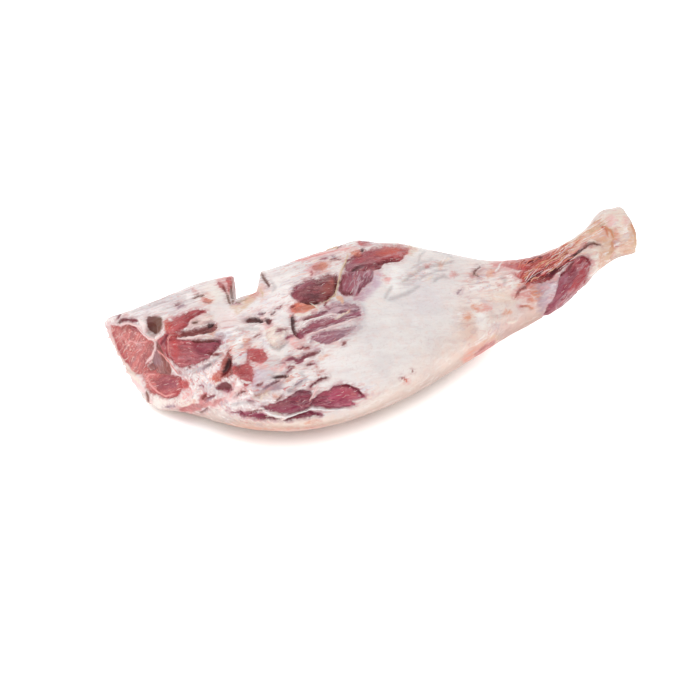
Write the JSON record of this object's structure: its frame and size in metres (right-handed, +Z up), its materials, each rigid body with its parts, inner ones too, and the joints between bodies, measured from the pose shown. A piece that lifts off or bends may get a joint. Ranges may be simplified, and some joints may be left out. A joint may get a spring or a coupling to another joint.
{
  "type": "raw leg of lamb",
  "caption": "Whole raw lamb leg with the chump on: flat sawn chump cut, notched backbone edge, muscled thigh, narrow rising shank and sawn hock end.",
  "frame": {"origin": "middle of the leg's box on the surface it rests on", "axes": "+X from the chump cut to the hock, +Y to the backbone edge, +Z up from the surface it rests on, inner side up"},
  "size_m": [0.449, 0.1862, 0.1033],
  "materials": {
    "flesh": "moist"
  },
  "bodies": {
    "root": {"leg": "flesh"}
  },
  "joints": []
}
